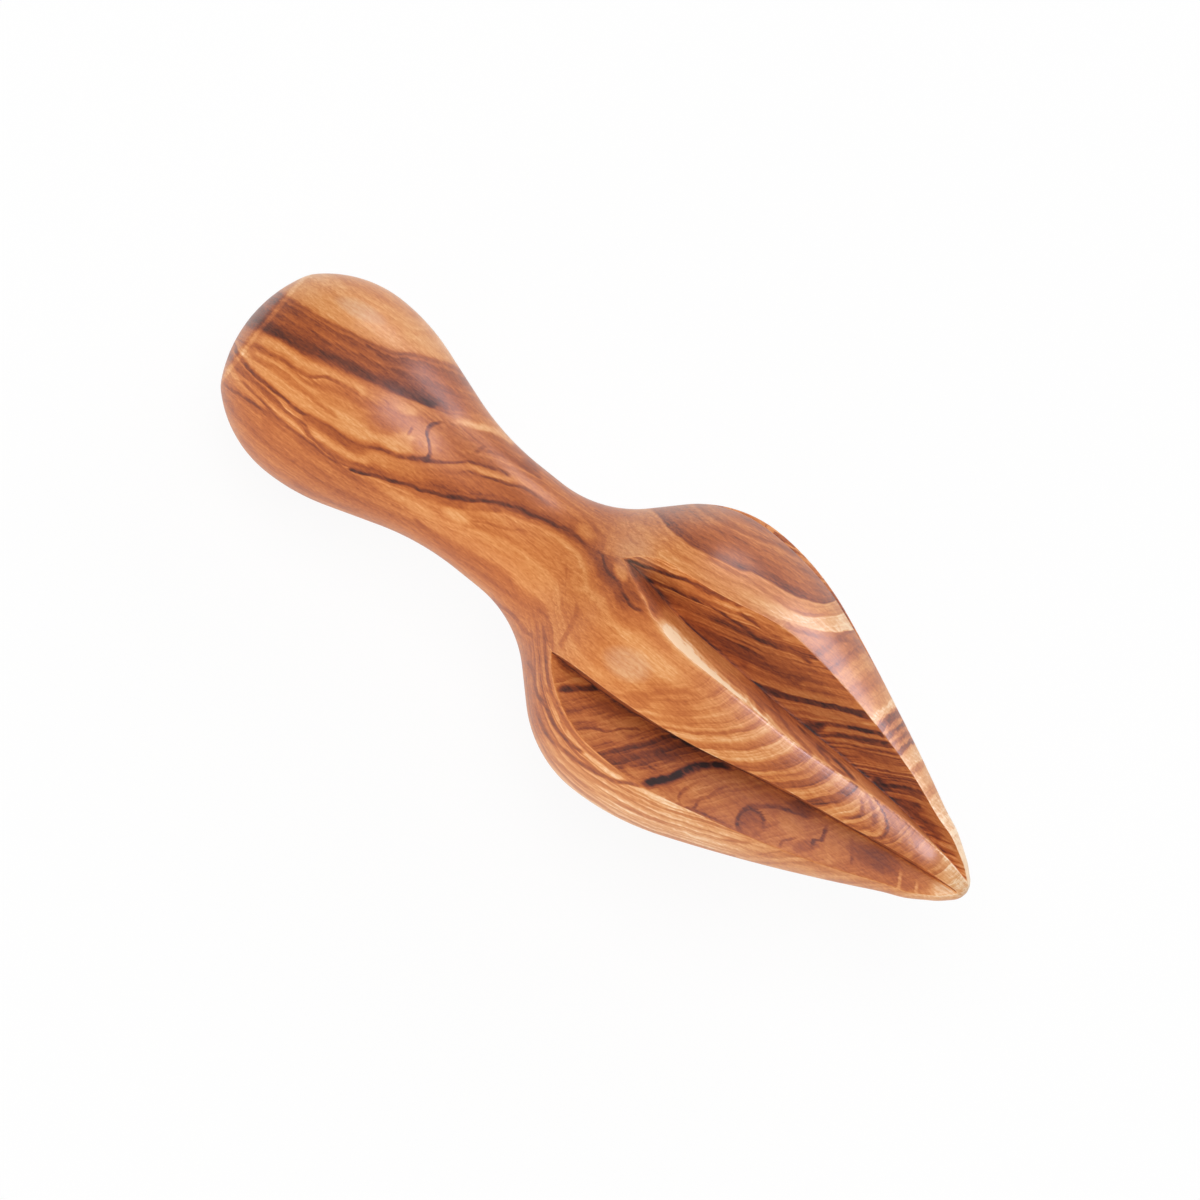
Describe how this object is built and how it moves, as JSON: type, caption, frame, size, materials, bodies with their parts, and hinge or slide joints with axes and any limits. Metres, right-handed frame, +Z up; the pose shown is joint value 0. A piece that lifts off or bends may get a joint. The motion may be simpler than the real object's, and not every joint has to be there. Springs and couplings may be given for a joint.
{
  "type": "wooden citrus reamer",
  "caption": "Hand reamer for citrus fruit, turned from one piece of olive wood: a rounded grip, a waisted neck and a pointed head with V flutes.",
  "frame": {"origin": "centre of the footprint on the table, at table height", "axes": "+X towards the pointed tip, +Z up, with the reamer lying on its grip and on two ribs of the head"},
  "size_m": [0.1492, 0.0538, 0.0525],
  "materials": {
    "olive_wood": "oiled, satin"
  },
  "bodies": {
    "root": {"reamer": "olive_wood"}
  },
  "joints": []
}
